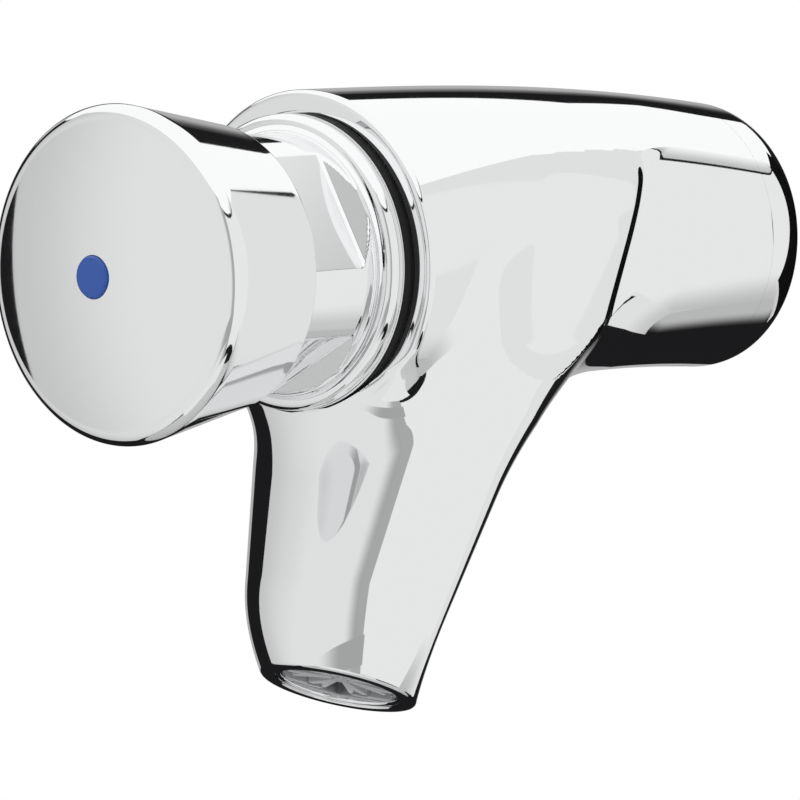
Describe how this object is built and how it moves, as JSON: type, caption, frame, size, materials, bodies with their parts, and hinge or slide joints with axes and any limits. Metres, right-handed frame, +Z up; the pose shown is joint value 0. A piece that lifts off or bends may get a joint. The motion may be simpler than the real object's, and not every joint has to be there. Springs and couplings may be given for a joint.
{
  "type": "push timed tap",
  "caption": "Wall tap with a domed push button that opens the water and returns by itself on a spring and timing piston, with a forward-leaning spout and a star flow straightener",
  "frame": {"origin": "centre of the body's wall face, on the button's axis, where the inlet thread leaves the body", "axes": "+Y points into the wall, the button faces -Y, +Z is up and +X is to the right of someone who faces the button"},
  "size_m": [0.0516, 0.1531, 0.0958],
  "materials": {
    "chrome_body": "polished chrome plate on cast brass",
    "chrome_head": "polished chrome plate on turned brass",
    "brass": "turned, unplated",
    "steel": "stainless, drawn",
    "black_rubber": "moulded, matt",
    "white_plastic": "moulded acetal",
    "grey_plastic": "moulded, slightly rough",
    "blue_plastic": "moulded, glossy"
  },
  "bodies": {
    "tap": {"body": "chrome_body", "inlet_nipple": "brass", "nipple_seal": "black_rubber", "inlet_strainer": "steel", "valve_seat": "brass", "seat_o_ring": "black_rubber", "return_spring": "steel", "bonnet": "chrome_head", "bonnet_seal": "black_rubber", "stem_bush": "white_plastic", "stem_o_ring": "black_rubber", "bush_clip": "steel", "outlet_ring": "chrome_head", "flow_straightener": "grey_plastic", "flow_regulator": "black_rubber", "outlet_washer": "black_rubber"},
    "plunger": {"button": "chrome_head", "button_screw": "steel", "marker": "blue_plastic", "stem": "brass", "piston": "white_plastic", "piston_seal": "black_rubber", "piston_clip": "steel", "timing_jet": "brass", "valve_carrier": "brass", "valve_washer": "black_rubber", "valve_nut": "steel"}
  },
  "joints": [
    {"name": "button_push", "type": "slide", "parent": "tap", "child": "plunger", "axis": [0, 1, 0], "range_m": [0, 0.008], "stiffness_N_per_m": 900, "springref_m": -0.008, "deforming": ["return_spring"]}
  ]
}
